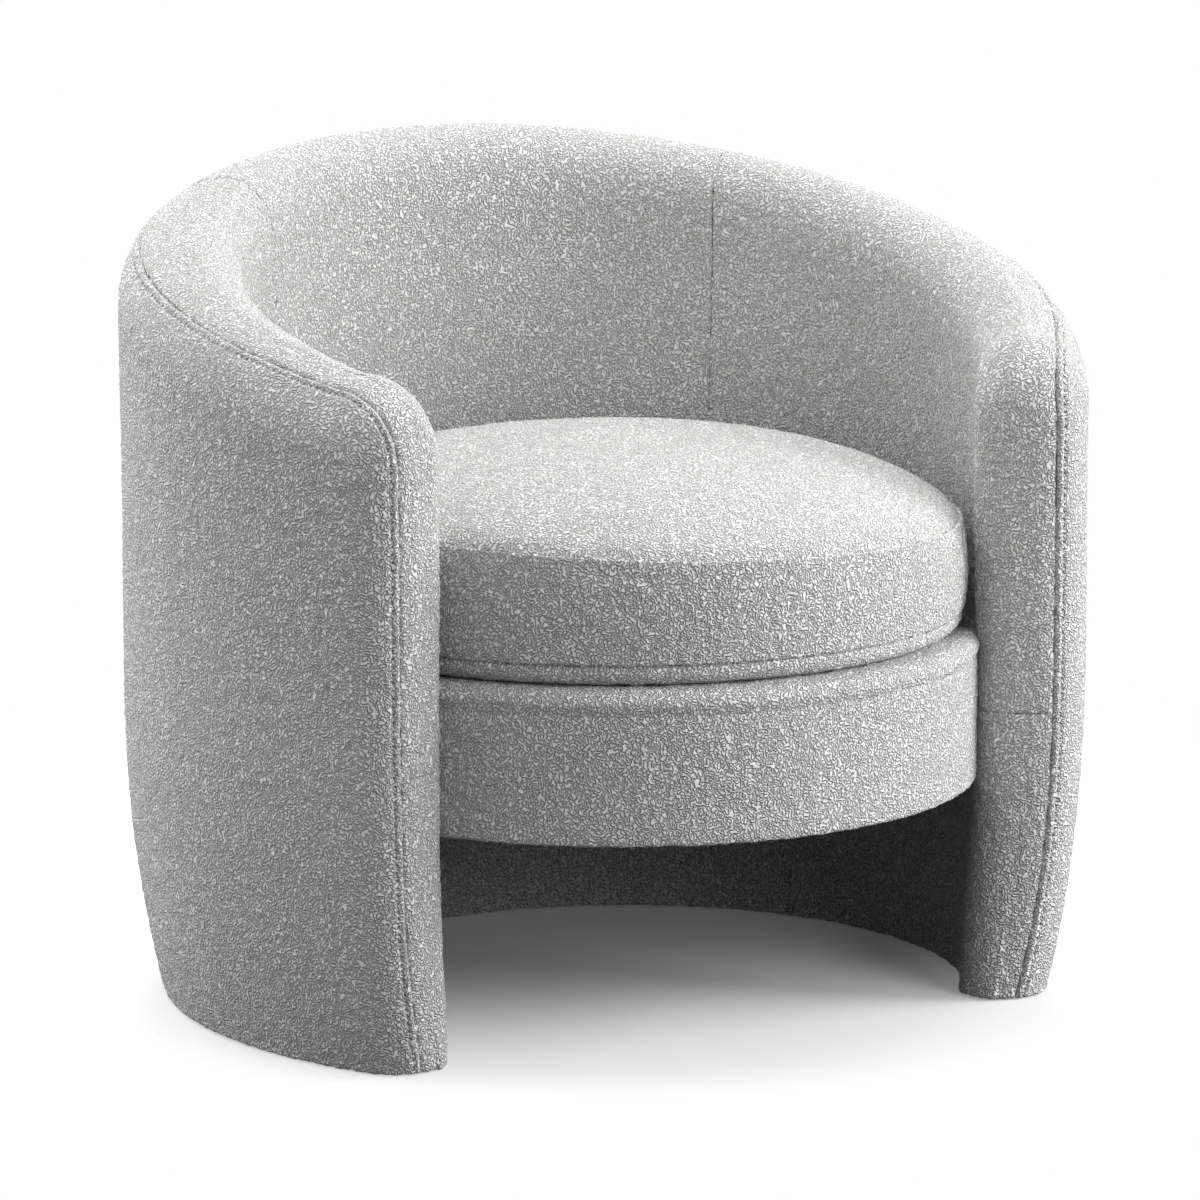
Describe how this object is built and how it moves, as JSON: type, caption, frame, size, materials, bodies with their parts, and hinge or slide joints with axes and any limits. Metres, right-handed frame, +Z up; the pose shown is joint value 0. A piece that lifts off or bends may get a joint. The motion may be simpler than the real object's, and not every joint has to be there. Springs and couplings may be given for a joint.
{
  "type": "tub chair",
  "caption": "Round tub chair in looped boucle cloth: a C-shaped shell down to the floor, an upholstered seat drum hung between its arms and a loose round seat cushion.",
  "frame": {"origin": "on the floor, at the middle of the chair's width and depth", "axes": "+X to the chair's left arm as seen from behind it, +Y towards the back, +Z up; the front faces -Y"},
  "size_m": [0.8206, 0.749, 0.702],
  "materials": {
    "boucle": "light grey looped boucle, matt, nubby",
    "lining": "black non-woven lining",
    "foam": "open-cell polyurethane foam",
    "wadding": "white polyester wadding",
    "plywood": "sawn birch plywood",
    "beech": "planed beech",
    "board": "brown bent fibreboard",
    "steel": "zinc-plated steel",
    "nylon": "black moulded nylon"
  },
  "bodies": {
    "chair": {"base_ring": "plywood", "seat_ring": "plywood", "deck_ring": "plywood", "top_rail": "beech", "arm_post_left": "beech", "arm_post_right": "beech", "lower_ribs": "plywood", "upper_ribs": "plywood", "ring_blocks": "plywood", "rib_screws": "steel", "inside_board_upper": "board", "inside_board_lower": "board", "outside_board": "board", "glides": "nylon", "deck_hoop": "plywood", "spring_rails": "beech", "springs": "steel", "spring_clips": "steel", "spring_ties": "steel", "spring_felt": "lining", "deck_foam": "foam", "deck_band_foam": "foam", "deck_bolts": "steel", "deck_top_cover": "boucle", "deck_band_cover": "boucle", "dust_cover": "lining", "inside_back_foam": "foam", "inside_arm_foam_left": "foam", "inside_arm_foam_right": "foam", "lower_inside_foam_back": "foam", "lower_inside_foam_left": "foam", "lower_inside_foam_right": "foam", "rim_foam_back": "foam", "rim_foam_left": "foam", "rim_foam_right": "foam", "outside_back_wadding": "wadding", "outside_arm_wadding_left": "wadding", "outside_arm_wadding_right": "wadding", "inside_back_cover": "boucle", "inside_arm_cover_left": "boucle", "inside_arm_cover_right": "boucle", "lower_inside_cover_back": "boucle", "lower_inside_cover_left": "boucle", "lower_inside_cover_right": "boucle", "outside_back_cover": "boucle", "outside_arm_cover_left": "boucle", "outside_arm_cover_right": "boucle"},
    "cushion": {"cushion_foam": "foam", "cushion_wrap": "wadding", "cushion_top_cover": "boucle", "cushion_border": "boucle", "cushion_zip_border": "boucle", "cushion_bottom_cover": "boucle", "zip_chain": "nylon"},
    "zip_pull": {"zip_slider": "steel"}
  },
  "joints": [
    {"name": "cushion_lift", "type": "slide", "parent": "chair", "child": "cushion", "axis": [0, 0, 1], "range_m": [0, 0.42]},
    {"name": "zip_run", "type": "hinge", "parent": "cushion", "child": "zip_pull", "pos_m": [0, -0.0715, 0.377], "axis": [0, 0, 1], "range_deg": [0, 116.5]}
  ]
}
